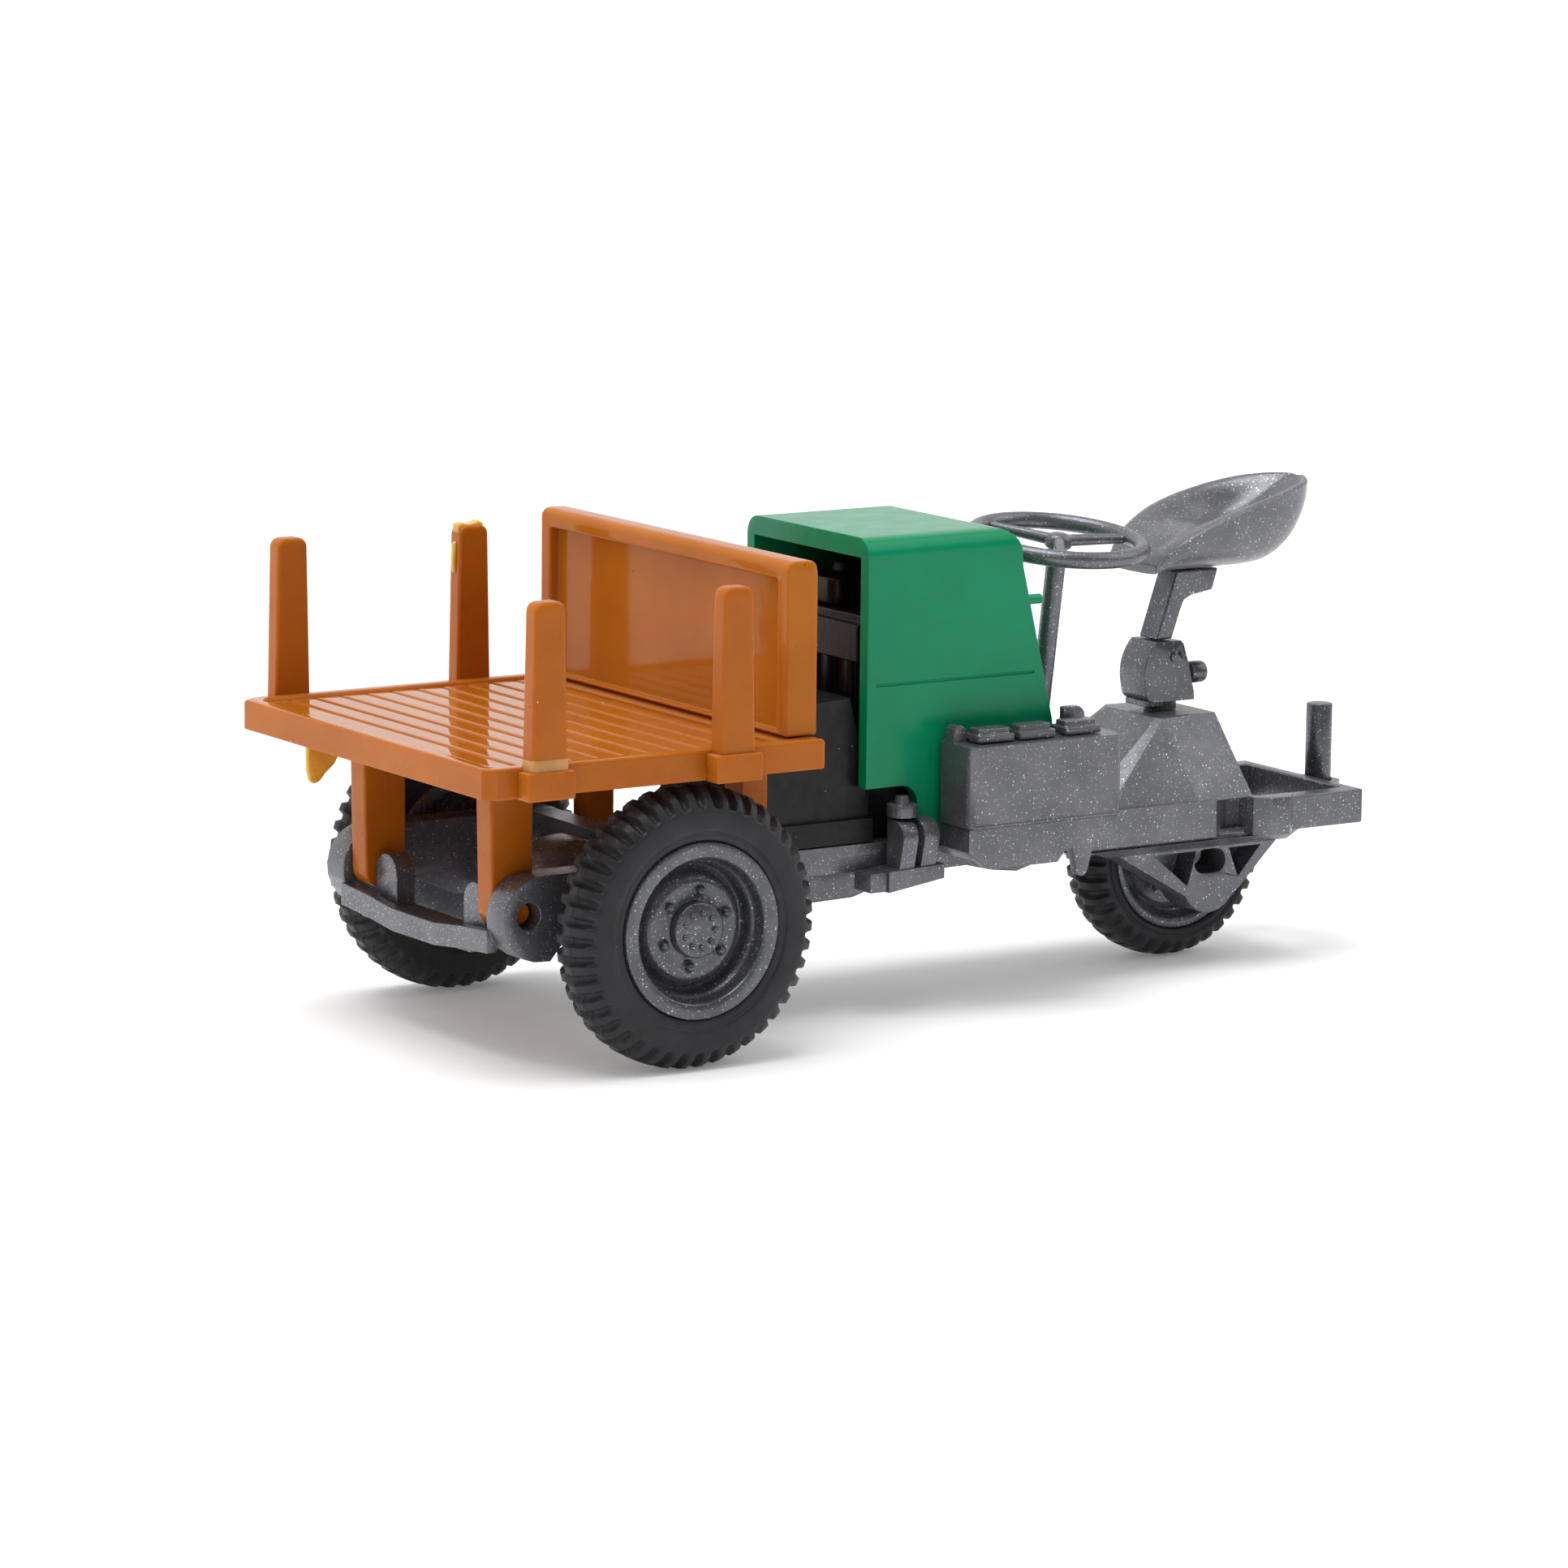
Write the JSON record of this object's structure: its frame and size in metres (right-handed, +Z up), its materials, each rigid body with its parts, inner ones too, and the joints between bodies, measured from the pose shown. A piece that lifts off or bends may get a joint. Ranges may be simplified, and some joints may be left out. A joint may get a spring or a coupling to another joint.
{
  "type": "model tipping stake truck",
  "caption": "Small-scale three-wheeled site truck with a tipping stake bed ahead of the engine hood, a bucket seat over the rear wheel and a tow hitch.",
  "frame": {"origin": "centre of the bounding box's base: on the ground, on the middle plane, halfway between the bed's front edge and the end of the hitch plate", "axes": "+X along the length towards the driver's end and the hitch, +Y to the vehicle's right side, +Z up"},
  "size_m": [0.0382, 0.017, 0.0159],
  "materials": {
    "frame_grey": "moulded grey plastic with fine metallic flecks",
    "rim_grey": "moulded grey plastic with fine metallic flecks",
    "engine_black": "near-black satin moulded plastic",
    "hood_green": "smooth green moulded plastic",
    "bed_orange": "glossy brown-orange moulded plastic, slightly translucent at its edges",
    "tyre_black": "matt blue-black soft tyre",
    "axle_steel": "bright drawn steel pin"
  },
  "bodies": {
    "chassis": {"chassis_frame": "frame_grey", "tipping_frame": "frame_grey", "drive_housing": "frame_grey", "torque_tube": "frame_grey", "oil_sump": "frame_grey", "gearbox": "engine_black", "engine_block": "engine_black", "cylinder_head": "engine_black", "engine_hood": "hood_green", "battery_box": "frame_grey", "battery_cap_1": "frame_grey", "battery_cap_2": "frame_grey", "battery_cap_3": "frame_grey", "battery_terminal": "frame_grey", "reservoir_bracket": "frame_grey", "fluid_reservoir": "frame_grey", "rear_housing": "frame_grey", "tow_frame": "frame_grey", "hitch_plate": "frame_grey", "hitch_pin": "frame_grey", "seat_clamp": "frame_grey", "seat_clamp_bolt": "frame_grey", "seat_post": "frame_grey", "seat_pan": "frame_grey"},
    "front_wheels": {"front_axle": "axle_steel", "front_rim_left": "rim_grey", "front_rim_right": "rim_grey", "front_tyre_left": "tyre_black", "front_tyre_right": "tyre_black"},
    "rear_wheel": {"rear_axle": "axle_steel", "rear_rim": "rim_grey", "rear_tyre": "tyre_black"},
    "steering": {"steering_column": "frame_grey", "steering_wheel": "frame_grey"},
    "tipping_bed": {"cargo_bed": "bed_orange", "headboard": "bed_orange", "stake_front_left": "bed_orange", "stake_front_right": "bed_orange", "stake_rear_left": "bed_orange", "stake_rear_right": "bed_orange"}
  },
  "joints": [
    {"name": "front_wheel_roll", "type": "hinge", "parent": "chassis", "child": "front_wheels", "pos_m": [-0.01155, 0, 0.00442], "axis": [0, 1, 0], "continuous": true},
    {"name": "rear_wheel_roll", "type": "hinge", "parent": "chassis", "child": "rear_wheel", "pos_m": [0.01187, 0, 0.00357], "axis": [0, 1, 0], "continuous": true},
    {"name": "steering_turn", "type": "hinge", "parent": "chassis", "child": "steering", "pos_m": [0.00736, 0, 0.01433], "axis": [0.0244, -0.1218, 0.9922], "continuous": true},
    {"name": "bed_tip", "type": "hinge", "parent": "chassis", "child": "tipping_bed", "pos_m": [-0.01623, 0, 0.0049], "axis": [0, -1, 0], "range_deg": [0, 55]}
  ]
}
